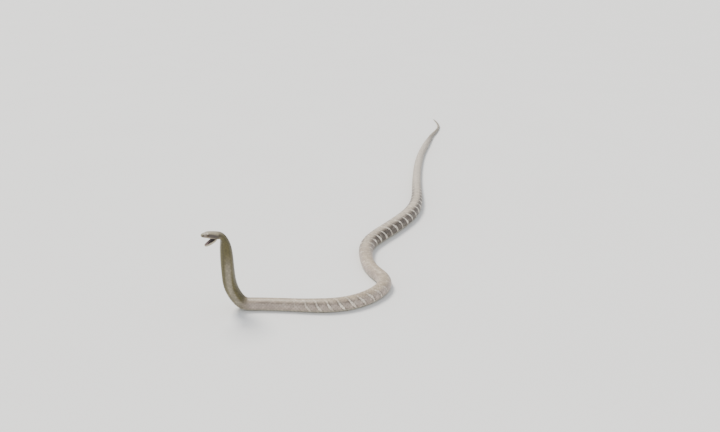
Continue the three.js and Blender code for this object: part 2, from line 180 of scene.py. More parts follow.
def coatDepth(place):
    return np.clip(coat["share"] * along(girth, place), coat["least"], coat["most"])


# Markings: pale bars like chevrons that point to the head, narrow and dark-edged, with darker flanks between.
# The phase counts the bars, and a whole number is the middle of one.
bars = {"slant": 0.55, "slantTo": 0.8, "shift": 0.32, "spacing": np.array([
    (0, 46), (600, 43), (900, 44), (1400, 50), (1750, 60), (2300, 62), (3300, 55), (3700, 46),
    (4550, 30)], float)}
barStrength = np.array([
    (0, 0), (440, 0), (540, 0.2), (620, 0.75), (740, 0.95), (860, 0.85), (940, 0.3), (1020, 0.12),
    (1180, 0.2), (1350, 0.5), (1500, 1), (2150, 1), (2400, 0.5), (2700, 0.28), (3400, 0.3), (3800, 0.75),
    (4550, 0.8)], float)
barCount = np.concatenate([[0], np.cumsum(1 / along(bars["spacing"], np.arange(body["length"]) + 0.5))])


def barPhase(place, around):
    lag = bars["slant"] * np.minimum(np.abs(around), bars["slantTo"]) * perimeterAt(place)
    return np.interp(place - lag, np.arange(body["length"] + 1), barCount) + bars["shift"]


# a colour as a screen shows it, made linear for the shader
def linear(*levels):
    return tuple(c / 255 / 12.92 if c <= 10 else ((c / 255 + 0.055) / 1.055) ** 2.4 for c in levels)


# Small helpers for materials
class NodeSheet:
    def __init__(self, name):
        self.material = bpy.data.materials.new(name)
        self.material.use_nodes = True
        self.nodes = self.material.node_tree.nodes
        self.links = self.material.node_tree.links
        self.nodes.clear()
        self.output = self.nodes.new("ShaderNodeOutputMaterial")
        self.shader = self.nodes.new("ShaderNodeBsdfPrincipled")
        self.links.new(self.shader.outputs[0], self.output.inputs[0])

    def feed(self, socket, value):
        if hasattr(value, "is_output"):
            self.links.new(value, socket)
        elif value is not None:
            socket.default_value = value

    def attribute(self, name):
        node = self.nodes.new("ShaderNodeAttribute")
        node.attribute_name = name
        return node

    def split(self, vector):
        node = self.nodes.new("ShaderNodeSeparateXYZ")
        self.feed(node.inputs[0], vector)
        return node.outputs

    def math(self, operation, first, second=None, third=None):
        node = self.nodes.new("ShaderNodeMath")
        node.operation = operation
        for socket, value in zip(node.inputs, (first, second, third)):
            self.feed(socket, value)
        return node.outputs[0]

    def times(self, *values):
        product = values[0]
        for value in values[1:]:
            product = self.math("MULTIPLY", product, value)
        return product

    def scaled(self, value, factor, plus):
        return self.math("MULTIPLY_ADD", value, factor, plus)

    # from 0 at one value to 1 at another, smoothly
    def step(self, value, start, end):
        node = self.nodes.new("ShaderNodeMapRange")
        node.interpolation_type = "SMOOTHSTEP"
        for socket, given in zip(node.inputs, (value, start, end, 0.0, 1.0)):
            self.feed(socket, given)
        return node.outputs[0]

    # 1 between full and fade, and 0 outside start and end
    def window(self, value, start, full, fade, end):
        fading = self.math("SUBTRACT", 1.0, self.step(value, fade, end))
        return self.times(self.step(value, start, full), fading)

    def mix(self, share, first, second, blend="MIX"):
        node = self.nodes.new("ShaderNodeMix")
        node.data_type = "RGBA"
        node.blend_type = blend
        self.feed(node.inputs[0], share)
        self.feed(node.inputs[6], first if hasattr(first, "is_output") else (*first, 1))
        self.feed(node.inputs[7], second if hasattr(second, "is_output") else (*second, 1))
        return node.outputs[2]

    def objectPlace(self):
        return self.nodes.new("ShaderNodeTexCoord").outputs["Object"]

    def noise(self, place, scale, detail, roughness=0.5):
        node = self.nodes.new("ShaderNodeTexNoise")
        self.feed(node.inputs["Vector"], place)
        node.inputs["Scale"].default_value = scale
        node.inputs["Detail"].default_value = detail
        node.inputs["Roughness"].default_value = roughness
        return node.outputs[0]

    def bump(self, height, distance, strength):
        node = self.nodes.new("ShaderNodeBump")
        node.inputs["Strength"].default_value = strength
        node.inputs["Distance"].default_value = distance
        self.feed(node.inputs["Height"], height)
        self.links.new(node.outputs[0], self.shader.inputs["Normal"])

    def set(self, **values):
        names = {"color": "Base Color", "roughness": "Roughness", "coat": "Coat Weight",
                 "coatRoughness": "Coat Roughness", "specular": "Specular IOR Level"}
        for key, value in values.items():
            self.feed(self.shader.inputs[names[key]], value)


hideTones = {
    # the upright neck's tones: its own dark olive, darkened partly with painted shade
    "neckBack": linear(76, 68, 36), "neckSide": linear(87, 79, 42), "neckBand": linear(136, 127, 106),
    # on the floor the front, middle and far backs are paler partly with a painted highlight as if sunlit; the
    # front flank is paler partly with painted bounce light, and the middle flank darker partly with painted
    # shade over its own blotches
    "frontBack": linear(156, 140, 118), "frontSide": linear(172, 156, 142),
    "middleBack": linear(168, 155, 136), "middleSide": linear(76, 65, 54),
    "farBack": linear(178, 167, 150), "farSide": linear(150, 139, 124),
    "tailBack": linear(124, 114, 94), "tailSide": linear(92, 82, 66),
    # the crown paler partly with a painted highlight, and the head's sides darker partly with painted shade
    "headTopAndHighlight": linear(132, 122, 99), "headSideAndShade": linear(80, 71, 63), "eyeFront": linear(150, 137, 124),
    # jawLip is pale partly with painted light, and chin and throat on the next line are darker partly with
    # painted shade
    "snout": linear(106, 96, 62), "lip": linear(170, 156, 132), "jawLip": linear(184, 174, 148),
    "chin": linear(122, 113, 84), "throat": linear(98, 90, 50), "belly": linear(206, 197, 174),
    # seam: painted shade in the seams between plates, in the head's grooves and under the plates
    "bar": linear(236, 226, 206), "barEdge": linear(56, 46, 38), "seamShade": linear(50, 43, 34),
    # the mouth's lining and gums darkened partly with painted shade, and deeper in painted shade that grows
    # near to black
    "dust": linear(204, 194, 176), "mouth": linear(92, 60, 56), "gum": linear(72, 46, 44),
    "shadedGullet": linear(32, 15, 15),
}
# where a tone starts and is full, or starts, is full, fades and ends: metres behind the nape
hideRuns = {
    "front": (0.29, 0.37), "middle": (1.2, 1.5), "far": (2.1, 2.6), "tail": (3.4, 3.85), "belly": (0.2, 0.42),
    "dust": (0.2, 0.5), "neckBand": (0.07, 0.16, 0.3, 0.36), "dash": (0.33, 0.4, 0.7, 0.9),
    "head": (0.02, -0.012), "jaw": (0.0, -0.006), "lip": (-0.02, -0.044), "snout": (-0.054, -0.062),
    "eyeFront": (-0.058, -0.053, -0.048, -0.043),
}
# the same round the body, as shares of the way from the back to the belly
hideRounds = {
    "neck": (0.12, 0.42), "front": (0.12, 0.42), "middle": (0.08, 0.26), "far": (0.12, 0.42),
    "tail": (0.12, 0.42), "bar": (0.06, 0.32), "belly": (0.6, 0.68), "crown": (0.22, 0.36),
    "eyeFront": (0.2, 0.34), "lip": (0.47, 0.52), "chin": (0.69, 0.8),
    "neckBand": (0.34, 0.45, 0.56, 0.66), "dash": (0.22, 0.27, 0.32, 0.37),
}
# a bar's pale line and dark edge, as shares of the way from midway between two bars to a bar's middle
barLines = {"pale": (0.74, 0.87), "edge": (0.5, 0.68, 0.74, 0.86), "breaks": (0.4, 0.56)}
# how strong each tone is, where a pair is a factor and what is added to the product
hideShares = {
    "lip": (0.45, 0.3), "eyeFront": 0.5, "snout": 0.6, "dash": 0.5, "edge": (0.45, 0.12), "pale": (0.72, 0.2),
    "breaks": (0.5, 0.5), "dust": 0.28, "ownTone": 0.34, "fine": (0.24, 0.88), "seamShade": 0.42,
}
# scale, detail and roughness of the noises
hideGrain = {"mottle": (55, 4, 0.6), "fine": (420, 3, 0.6), "breaks": (38, 2, 0.5)}


# Hide: reads the markings that the skin and the scales both carry.
# marks = bar phase, bar strength, share round the body from the back; grain = place in metres, own tone, rim
class HideSheet(NodeSheet):
    def __init__(self, name):
        super().__init__(name)
        self.phase, self.strength, self.around = self.split(self.attribute("marks").outputs["Vector"])
        self.place, self.tone, self.rim = self.split(self.attribute("grain").outputs["Vector"])
        self.mottle, self.fine, self.breaks = (self.noise(self.objectPlace(), *hideGrain[key])
                                               for key in ("mottle", "fine", "breaks"))

    def change(self, value, ends):
        return self.step(value, *ends) if len(ends) == 2 else self.window(value, *ends)

    def run(self, key):
        return self.change(self.place, hideRuns[key])

    def round(self, key):
        return self.change(self.around, hideRounds[key])


# back and flanks, stretch by stretch, with painted light and shade: the upright neck darker, the backs on the
# floor paler as a painted highlight, the middle flank darker as painted shade and the front flank paler as
# painted bounce light
def stretchTones(sheet):
    color = sheet.mix(sheet.round("neck"), hideTones["neckBack"], hideTones["neckSide"])
    band = sheet.times(sheet.round("neckBand"), sheet.run("neckBand"))
    color = sheet.mix(band, color, hideTones["neckBand"])
    for name in ("front", "middle", "far", "tail"):
        stretch = sheet.mix(sheet.round(name), hideTones[name + "Back"], hideTones[name + "Side"])
        color = sheet.mix(sheet.run(name), color, stretch)
    return color


# the head: a crown lit with a painted highlight and sides darkened with painted shade over their own
# olive-brown, with pale lips, a pale patch before the eye and a dark snout
def headTones(sheet, color):
    crown = sheet.mix(sheet.round("crown"), hideTones["headTopAndHighlight"], hideTones["headSideAndShade"])
    paleLip = sheet.times(sheet.round("lip"), sheet.scaled(sheet.run("lip"), *hideShares["lip"]))
    crown = sheet.mix(paleLip, crown, hideTones["lip"])
    eyeFront = sheet.times(sheet.run("eyeFront"), sheet.round("eyeFront"), hideShares["eyeFront"])
    crown = sheet.mix(eyeFront, crown, hideTones["eyeFront"])
    crown = sheet.mix(sheet.times(sheet.run("snout"), hideShares["snout"]), crown, hideTones["snout"])
    return sheet.mix(sheet.run("head"), color, crown)


# dark dashes along the flank of the front, on the scales whose own tone is pale
def dashTones(sheet, color):
    paler = sheet.step(sheet.tone, 0.3, 0.5)
    dashes = sheet.times(sheet.round("dash"), sheet.run("dash"), paler, hideShares["dash"])
    return sheet.mix(dashes, color, hideTones["barEdge"])


# bars: a pale, broken line with a dark one beside it, both stronger on the flank
def barTones(sheet, color):
    half = sheet.math("ABSOLUTE", sheet.math("SUBTRACT", sheet.math("FRACT", sheet.phase), 0.5))
    toBar = sheet.times(half, 2)
    onFlank = sheet.round("bar")
    edge = sheet.times(sheet.window(toBar, *barLines["edge"]), sheet.strength,
                       sheet.scaled(onFlank, *hideShares["edge"]))
    color = sheet.mix(edge, color, hideTones["barEdge"])
    broken = sheet.scaled(sheet.step(sheet.breaks, *barLines["breaks"]), *hideShares["breaks"])
    pale = sheet.times(sheet.step(toBar, *barLines["pale"]), sheet.strength,
                       sheet.scaled(onFlank, *hideShares["pale"]), broken)
    return sheet.mix(pale, color, hideTones["bar"])


# under the body and head: the throat and the chin darkened partly with painted shade, the jaw's lip pale
# partly with painted light, and the pale belly
def underTones(sheet, color):
    below = sheet.mix(sheet.run("belly"), hideTones["throat"], hideTones["belly"])
    jaw = sheet.mix(sheet.round("chin"), hideTones["jawLip"], hideTones["chin"])
    below = sheet.mix(sheet.run("jaw"), below, jaw)
    return sheet.mix(sheet.round("belly"), color, below)


# dust, each scale's own tone, and painted shade in the seams, the head's grooves and on the plates' edges and
# undersides
def wornTones(sheet, color):
    dust = sheet.times(sheet.step(sheet.mottle, 0.5, 0.72), hideShares["dust"], sheet.run("dust"))
    color = sheet.mix(dust, color, hideTones["dust"])
    shade = sheet.scaled(sheet.math("SUBTRACT", sheet.tone, 0.5), hideShares["ownTone"], 1.0)
    shade = sheet.times(shade, sheet.scaled(sheet.fine, *hideShares["fine"]))
    grey = sheet.nodes.new("ShaderNodeCombineColor")
    for socket in grey.inputs:
        sheet.feed(socket, shade)
    color = sheet.mix(1.0, color, grey.outputs[0], "MULTIPLY")
    seamShade = sheet.times(sheet.step(sheet.rim, 0.55, 1.0), hideShares["seamShade"])
    return sheet.mix(seamShade, color, hideTones["seamShade"])


def hideMaterial(name, withMouth):
    sheet = HideSheet(name)
    color = stretchTones(sheet)
    for layer in (headTones, dashTones, barTones, underTones, wornTones):
        color = layer(sheet, color)
    roughness = sheet.scaled(sheet.mottle, 0.26, 0.3)
    if withMouth:
        # inside the mouth the lining is darkened partly with painted shade, and deeper in and in the nostrils
        # there is painted shade
        lining, deep, _ = sheet.split(sheet.attribute("mouth").outputs["Vector"])
        flesh = sheet.mix(sheet.fine, hideTones["mouth"], hideTones["gum"])
        flesh = sheet.mix(deep, flesh, hideTones["shadedGullet"])
        color = sheet.mix(sheet.step(lining, 0.2, 0.8), color, flesh)
        roughness = sheet.scaled(lining, 0.14, sheet.scaled(deep, 0.2, roughness))
    sheet.set(color=color, roughness=roughness, specular=0.45)
    sheet.bump(sheet.fine, 0.00025, 0.35)
    return sheet.material


def setVectors(mesh, name, values):
    layer = mesh.attributes.new(name, "FLOAT_VECTOR", "POINT")
    layer.data.foreach_set("vector", values.astype(np.float32).ravel())


def setMarks(mesh, place, around, tone, rim):
    strength = np.clip(along(barStrength, place), 0, 1)
    setVectors(mesh, "marks", np.stack([barPhase(place, around), strength, np.abs(around)], axis=-1))
    setVectors(mesh, "grain", np.stack([place * metre, tone, rim], axis=-1))


def newObject(name, mesh, material):
    obj = bpy.data.objects.new(name, mesh)
    bpy.context.collection.objects.link(obj)
    mesh.materials.clear()
    mesh.materials.append(material)
    return obj


def meshFrom(bm, name):
    mesh = bpy.data.meshes.new(name)
    bm.to_mesh(mesh)
    bm.free()
    return mesh


# One mesh with a number of copies of a small shape, all in one place until they are laid on the body
def repeated(template, count, name):
    holder = bpy.data.objects.new(name, template)
    bpy.context.collection.objects.link(holder)
    array = holder.modifiers.new("repeat", "ARRAY")
    array.count = count
    array.use_relative_offset = False
    shape = holder.evaluated_get(bpy.context.evaluated_depsgraph_get())
    mesh = bpy.data.meshes.new_from_object(shape)
    bpy.data.objects.remove(holder)
    mesh.name = name
    return mesh


def coordinates(mesh):
    flat = np.empty(len(mesh.vertices) * 3, np.float32)
    mesh.vertices.foreach_get("co", flat)
    return flat.reshape(-1, 3).astype(float)


# Skin
skin = {"rowStep": 7.5, "columns": 56, "joinAt": 16, "joinGap": 3}


# Scales: smooth leaves in rows round the back, each over the root of the next
scale = {
    "rows": np.array([(0, 19), (240, 19), (330, 15), (3650, 15), (3900, 11), (4200, 7), (4550, 5)], float),
    "pitch": np.array([(0, 8.5), (60, 11.5), (300, 13), (600, 14.5), (1500, 16.5), (2200, 15.5), (3400, 12.5),
                       (3700, 11), (4200, 8), (4550, 4.2)], float),
    "reach": 0.655, "edgeRow": 0.3, "beforeTip": 6, "longer": 1.36, "wider": 1.62, "rootBack": 0.18,
    "vary": 0.05, "rootDepth": 0.78, "dome": 0.16, "sides": 0.2, "sunk": 0.22, "thick": 0.3,
    "along": 5, "across": 4, "ownMark": (0.4, 0.4), "patch": 0.003,
}
# Scutes: broad plates across the belly, one for each scale's length
scute = {
    "first": 13, "beforeTip": 12, "reach": 0.64, "longer": 1.22, "rootDepth": 1.05, "endsFrom": 0.8,
    "endDepth": 1.6, "thick": 0.4, "along": 3, "across": 16, "ownMark": (0.4, 0), "patch": 0.003,
}
# fullCoat is the coat's depth where plates have their whole thickness, ownMiddle the middle of a plate
plates = {"fullCoat": 1.1, "overFloor": 0.02, "sharpFrom": 48, "ownMiddle": 0.55}
# the body laid flat on the bake's square: its edge, length and half width
bake = {"margin": 0.01, "length": 0.975, "half": 0.485}


# A leaf-shaped plate: x runs from root 0 to tip 1, y across from -1 to 1, z is 1 on top and 0 below
def plateTemplate(kind, outline, name):
    bm = bmesh.new()
    bmesh.ops.create_grid(bm, x_segments=kind["along"], y_segments=kind["across"], size=1)
    top = list(bm.faces)
    under = bmesh.ops.extrude_face_region(bm, geom=top, use_keep_orig=True)
    fresh = [v for v in under["geom"] if isinstance(v, bmesh.types.BMVert)]
    bmesh.ops.translate(bm, verts=fresh, vec=(0, 0, 1))
    below = [f for f in bm.faces if all(v.co.z < 0.5 for v in f.verts)]
    bmesh.ops.dissolve_faces(bm, faces=below)
    bmesh.ops.recalc_face_normals(bm, faces=bm.faces)
    for v in bm.verts:
        v.co.x = (v.co.x + 1) / 2
        v.co.y *= outline(v.co.x)
    return meshFrom(bm, name)


# half widths at a share of the way from root to tip
def scaleOutline(x):
    if x < 0.5:
        return max(0.16, 1 - abs(2 * x - 0.92) ** 2.3)
    return max(0.1, 1 - ((x - 0.44) / 0.57) ** 2.2)


def scuteOutline(x):
    return 1 - 0.03 * (1 - x)


# places one scale's length apart
def stations(start, end):
    places = [start]
    while places[-1] < end:
        places.append(places[-1] + float(along(scale["pitch"], places[-1])))
    return np.array(places[:-1])


# Where each dorsal scale has its root: rows round the back, every other row half a scale further on
def scaleRoots(start, end):
    roots = []
    places = stations(0, body["length"] - scale["beforeTip"])
    sideRows = int(scale["rows"][:, 1].max()) // 2
    for row in range(-sideRows, sideRows + 1):
        shifted = places + (0.5 * along(scale["pitch"], places) if row % 2 else 0)
        spread = 2 * scale["reach"] / along(scale["rows"], shifted)
        around = row * spread
        inside = np.abs(around) < scale["reach"] - scale["edgeRow"] * spread
        keep = inside & (shifted >= start) & (shifted < end)
        roots.append(np.stack([shifted[keep], around[keep], spread[keep]], axis=-1))
    return np.concatenate(roots)


# One piece of plates, laid on the body by place, share round it, length, half width and lift
def layPlates(name, kind, outline, place, around, length, width, lift, tones, material):
    template = plateTemplate(kind, outline, name + "Shape")
    count = len(place)
    local = coordinates(template)
    mesh = repeated(template, count, name)
    x, y, z = (np.tile(local[:, k], count).reshape(count, -1) for k in range(3))
    at = place[:, None] + x * length[:, None]
    side = around[:, None] + y * width[:, None]
    depth = coatDepth(at)
    height = lift(x, y, depth) - (1 - z) * kind["thick"] * np.minimum(depth / plates["fullCoat"], 1)
    points = onBody(np.minimum(at, body["length"]), side, height)
    points[..., 2] = np.maximum(points[..., 2], plates["overFloor"])
    mesh.vertices.foreach_set("co", (points * metre).astype(np.float32).ravel())
    # rim is the plates' edges and undersides, where the hide paints shade
    rim = np.maximum(np.abs(local[:, 1]) / np.abs(local[:, 1]).max(), np.abs(local[:, 0] * 2 - 1))
    rim = np.tile(np.where(local[:, 2] > 0.5, rim, 1), count)
    # a plate shows partly the marking at its own middle, and partly the one under each of its points
    ownAlong, ownRound = kind["ownMark"]
    markPlace = ownAlong * (place + plates["ownMiddle"] * length)[:, None] + (1 - ownAlong) * at
    markAround = ownRound * around[:, None] + (1 - ownRound) * side
    setMarks(mesh, markPlace.ravel(), markAround.ravel(), np.repeat(tones, len(local)), rim)
    # each plate is a small patch at its root's place on the body laid flat
    uv = mesh.uv_layers.new(name="OFBake")
    span = max(place.max() - place.min(), 1)
    share = ((place - place.min()) / span)[:, None]
    flatX = bake["margin"] + bake["length"] * share + (x - 0.5) * kind["patch"]
    flatY = 0.5 + bake["half"] * around[:, None] + y * kind["patch"] / 2
    loops = np.empty(len(mesh.loops), np.int32)
    mesh.loops.foreach_get("vertex_index", loops)
    spots = np.stack([flatX.ravel(), flatY.ravel()], axis=-1)[loops]
    uv.data.foreach_set("uv", spots.astype(np.float32).ravel())
    mesh.shade_smooth()
    mesh.set_sharp_from_angle(angle=math.radians(plates["sharpFrom"]))
    mesh.update()
    obj = newObject(name, mesh, material)
    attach(obj, "root")
    return obj


def addScales(name, start, end, material):
    place, around, spread = scaleRoots(start, end).T

    def varied(values):
        return values * (1 + scale["vary"] * rng.uniform(-1, 1, len(place)))

    def lift(x, y, depth):
        rooted = -scale["rootDepth"] * depth * (1 - x) ** 1.1
        dome = scale["dome"] * depth * (1 - y * y)
        return rooted - scale["sunk"] * depth + dome - scale["sides"] * depth * y * y
    length = varied(along(scale["pitch"], place) * scale["longer"])
    width = varied(spread * scale["wider"] / 2)
    tones = rng.uniform(0, 1, len(place))
    obj = layPlates(name, scale, scaleOutline, place - scale["rootBack"] * length, around, length, width,
                    lift, tones, material)
    print(name, len(place), "scales")


def addScutes(name, start, end, material):
    places = stations(scute["first"], body["length"] - scute["beforeTip"])
    places = places[(places >= start) & (places < end)]
    length = along(scale["pitch"], places) * scute["longer"]
    width = np.full_like(places, 1 - scute["reach"])
    tones = rng.uniform(0.3, 0.7, len(places))

    def lift(x, y, depth):
        ends = np.clip((np.abs(y) - scute["endsFrom"]) / (1 - scute["endsFrom"]), 0, 1)
        return -scute["rootDepth"] * depth * (1 - x) - scute["endDepth"] * depth * ends ** 2
    obj = layPlates(name, scute, scuteOutline, places, np.ones_like(places), length, width, lift, tones,
                    material)
    print(name, len(places), "scutes")


scaleHide = hideMaterial("scaleHide", withMouth=False)
skinHide = hideMaterial("skinHide", withMouth=True)

for name, start, end, slot in (
        ("hoodScales", 0, 390, "neck_hide"), ("frontScales", 390, 1460, "body_hide"),
        ("midbodyScales", 1460, 2500, "body_hide"), ("rearScales", 2500, 3670, "body_hide"),
        ("tailScales", 3670, body["length"], "tail_hide")):
    addScales(name, start, end, scaleHide)
for name, start, end, slot in (
        ("neckScutes", 0, 390, "neck_hide"), ("bellyScutes", 390, 3670, "body_hide"),
        ("tailScutes", 3670, body["length"], "tail_hide")):
    addScutes(name, start, end, scaleHide)


# A closed tube of rows and columns, whose points come from shares along it and round it, from 0 to 1
def tubeMesh(name, rows, columns, pointsAt):
    bm = bmesh.new()
    made = bmesh.ops.create_grid(bm, x_segments=columns, y_segments=rows, size=1)["verts"]
    flat = (np.array([v.co[:2] for v in made]) + 1) / 2
    for v, co in zip(made, pointsAt(flat[:, 1], flat[:, 0])):
        v.co = co
    bmesh.ops.remove_doubles(bm, verts=bm.verts, dist=0.002)
    bmesh.ops.holes_fill(bm, edges=[e for e in bm.edges if e.is_boundary], sides=0)
    bmesh.ops.recalc_face_normals(bm, faces=bm.faces)
    return meshFrom(bm, name)


# Head, in its own frame: x runs forward from the nape, y to the left, z up.
# Places on the head count back from the snout.
head = {
    "length": 64, "gape": 44, "hinge": (54, -6), "segments": (60, 64), "voxel": 0.6, "smoothings": 4,
    "neckFrom": -5, "neckTo": 60, "neckSunk": 1.0, "neckSegments": (65, 72),
    "sunk": 0.42,  # depth of the shields' grooves and bulges under the outline
}
# place, half width, top, lip line, widest height, squareness above and below
upperHead = np.array([
    (0.3, 5.4, 1.4, -4, -1.4, 2.2, 2.6), (1.4, 8.6, 3.4, -5.2, -1.8, 2.3, 3),
    (4, 11.6, 5.8, -6, -2, 2.4, 4), (8, 13.6, 8, -6.2, -2.2, 2.5, 5), (13, 15.4, 10, -6.2, -2.4, 2.6, 5),
    (19, 17.2, 12.2, -6.4, -2.6, 2.8, 5), (26, 19.2, 14.2, -7, -2.8, 2.9, 5),
    (34, 21.2, 15.1, -7.6, -3, 2.6, 5), (42, 23.2, 15.4, -7.8, -2.8, 2.4, 5),
    (49, 24.8, 15.5, -8.4, -2, 2.3, 4), (56, 25.2, 15.4, -10.2, -1, 2.2, 3),
    (64, 24.2, 15.2, -11.5, 0, 2.2, 2.3)], float)
# the lower jaw as it lies when shut: place, half width, lip line, chin, widest height, squareness
lowerJaw = np.array([
    (3, 5.6, -6, -10.6, -7.6, 4, 2.2), (4.4, 8.6, -5.8, -12.8, -7.8, 5, 2.2),
    (8, 11.6, -5.8, -14.8, -8, 6, 2.2), (14, 14.4, -6, -16.8, -8.4, 6, 2.2),
    (21, 16.8, -6.6, -18.4, -8.8, 6, 2.3), (29, 19, -7.2, -19.4, -9.4, 6, 2.3),
    (38, 21.4, -7.4, -19.8, -9.6, 6, 2.3), (48, 23.2, -7.6, -19, -9.6, 5, 2.3),
    (57, 22.6, -5.6, -15.4, -8.4, 3, 2.3)], float)
# hollow of the mouth, its lining, and the soft folds across it
mouth = {
    "corner": 50, "lip": 2.6, "palateRise": 5, "floorDrop": 4, "from": 6.5, "reach": 8, "segments": (40, 48),
    "arch": (0.6, 8, 9.2, 0.4),  # start and length of its swell out of a whole arch, and how blunt it is
    # deepFrom and deepFade: where the painted shade in the mouth begins and grows full
    "narrow": 0.6, "liningTo": 0.72, "liningFade": 0.45, "deepFrom": 18, "deepFade": 24,
}
fold = {"height": 0.09, "wide": 1.15, "sway": (1.3, 0.21), "wobble": (0.7, 0.6), "from": 10, "fade": 12}
# grooves at the borders of the shields, and nets of small scales as their length and width
shield = {
    "groove": 0.3, "grooveWidth": 0.42, "bulge": 0.3, "bulgeWidth": 1.5, "away": 9, "cheekNet": (6.6, 4.6),
    "cheeks": ((54, 0.4), (51, 0.73)), "chinNet": (5.2, 3.4), "chin": (31, 0.62), "jawEnd": 50,
    "throatNet": (5.2, 3.8), "throatFrom": 0.5, "throatHalf": 60, "throatAhead": 2, "neckAhead": 1.5,
    "jawOver": 0.4,
}
# shares round the body at which the head's two halves read their tones
headRounds = {"lip": 0.62, "chin": 0.98, "jaw": 0.34, "jawLip": 0.6}
eye = {
    "back": 25, "side": 13.7, "height": 4.2, "radius": 5.6, "iris": 3.5, "pupil": 1.8, "toe": 12, "up": 0.12,
    "opening": 3.7, "rim": 0.3, "rimWidth": 0.9, "rimFade": 2.4, "hood": 0.5, "snap": 0.36, "behind": 0.8,
    "front": 4.7, "ring": 5.4, "ringInside": 5.1, "segments": 48,
}
# dark and fade: how far the painted shade in each nostril reaches
nostril = {"back": 7, "side": 12.4, "height": 2.6, "size": (1.5, 3.2, 1.25), "dark": 1.8, "fade": 0.5}
glottis = {
    "back": 24, "height": -10.6, "size": (6.5, 3, 2.6), "slit": (3.2, 0.7, 2.2), "slitAhead": 4.2,
    "slitUp": 1.2,
}
fang = {
    "back": 13, "side": 8.2, "root": -1.2, "length": 9.8, "radius": 1.25, "curve": 2.4, "segments": (10, 12),
    "gum": (3.4, 2.2, 2.6), "gumBack": 0.6, "gumHeight": -3.4,
}
nape, napeTail, napeRight, napeBack = spineFrame(0.0)
headAxes = np.stack([-napeTail, -napeRight, napeBack])


# outline of a half of the head at places behind the snout and angles from the top
def section(table, at, angle):
    half, top, low, wide, upper, lower = (along(table, at, k) for k in range(1, 7))
    rise = np.cos(angle)
    power = 2 / np.where(rise > 0, upper, lower)
    across = half * np.sign(np.sin(angle)) * np.abs(np.sin(angle)) ** power
    up = np.sign(rise) * np.abs(rise) ** power * np.where(rise > 0, top - wide, wide - low)
    return across, wide + up


def shell(table, name):
    def pointsAt(run, turn):
        at = table[0, 0] + (table[-1, 0] - table[0, 0]) * run
        across, up = section(table, at, turn * 2 * math.pi)
        return np.stack([head["length"] - at, across, up], axis=-1)
    return tubeMesh(name, *head["segments"], pointsAt)


# turn of the lower jaw about its hinge, open by its gape or shut again
def jawTurn(points, opened=True):
    gape = math.radians(head["gape"] if opened else -head["gape"])
    ahead, up = head["length"] - head["hinge"][0], head["hinge"][1]
    x, z = points[:, 0] - ahead, points[:, 2] - up
    return np.stack([x * math.cos(gape) + z * math.sin(gape) + ahead, points[:, 1],
                     z * math.cos(gape) - x * math.sin(gape) + up], axis=-1)


def moved(mesh, change):
    mesh.vertices.foreach_set("co", change(coordinates(mesh)).astype(np.float32).ravel())
    mesh.update()
    return mesh


# hollow of the mouth inside the lips, blunt at both ends, rising into the roof or sinking into the floor
def mouthHollow(table, lipColumn, depth, name):
    start, length, whole, power = mouth["arch"]

    def pointsAt(run, turn):
        at = mouth["from"] + (mouth["corner"] - mouth["from"]) * run
        edge = along(table, at, lipColumn)
        swell = np.sin(math.pi * (run * length + start) / whole) ** power
        half = (along(table, at, 1) - mouth["lip"]) * (mouth["narrow"] + (1 - mouth["narrow"]) * swell)
        inner, outer = edge + depth * swell, edge - np.sign(depth) * mouth["reach"]
        top, low = np.maximum(inner, outer), np.minimum(inner, outer)
        rise, sine = np.cos(turn * 2 * math.pi), np.sin(turn * 2 * math.pi)
        upper, lower = (2, 6) if depth > 0 else (6, 2)
        square = 2 / np.where(rise > 0, upper, lower)
        across = half * np.sign(sine) * np.abs(sine) ** square
        up = np.sign(rise) * np.abs(rise) ** square * np.where(rise > 0, top - edge, edge - low)
        return np.stack([head["length"] - at, across, edge + up], axis=-1)
    return tubeMesh(name, *mouth["segments"], pointsAt)


def ball(name, size, back, side, height, segments=32):
    bm = bmesh.new()
    bmesh.ops.create_uvsphere(bm, u_segments=segments, v_segments=segments // 2, radius=1)
    bmesh.ops.scale(bm, vec=size, verts=bm.verts)
    bmesh.ops.translate(bm, vec=(head["length"] - back, side, height), verts=bm.verts)
    return meshFrom(bm, name)


def joined(meshes, name):
    bm = bmesh.new()
    for mesh in meshes:
        bm.from_mesh(mesh)
    return meshFrom(bm, name)


def withModifier(mesh, kind, **settings):
    holder = bpy.data.objects.new(mesh.name, mesh)
    bpy.context.collection.objects.link(holder)
    modifier = holder.modifiers.new(kind, kind)
    for key, value in settings.items():
        setattr(modifier, key, value)
    bpy.context.view_layer.update()
    made = bpy.data.meshes.new_from_object(holder.evaluated_get(bpy.context.evaluated_depsgraph_get()))
    bpy.data.objects.remove(holder)
    return made


def carved(mesh, tool):
    cutter = bpy.data.objects.new("cutter", tool)
    bpy.context.collection.objects.link(cutter)
    made = withModifier(mesh, "BOOLEAN", operation="DIFFERENCE", solver="EXACT", object=cutter)
    bpy.data.objects.remove(cutter)
    return made


def toHead(points):
    return (points - nape) @ headAxes.T


def fromHead(points):
    return points @ headAxes + nape


# front of the neck's skin, reaching a little way into the head
def neckShell():
    def pointsAt(run, turn):
        place = head["neckFrom"] + (head["neckTo"] - head["neckFrom"]) * run
        inset = -coatDepth(np.maximum(place, 0)) - np.where(place < 0, head["neckSunk"], 0)
        points = onBody(np.maximum(place, 0), turn * 2 - 1, inset)
        return toHead(points) + np.stack([np.maximum(-place, 0), 0 * place, 0 * place], axis=-1)
    return tubeMesh("neckShell", *head["neckSegments"], pointsAt)


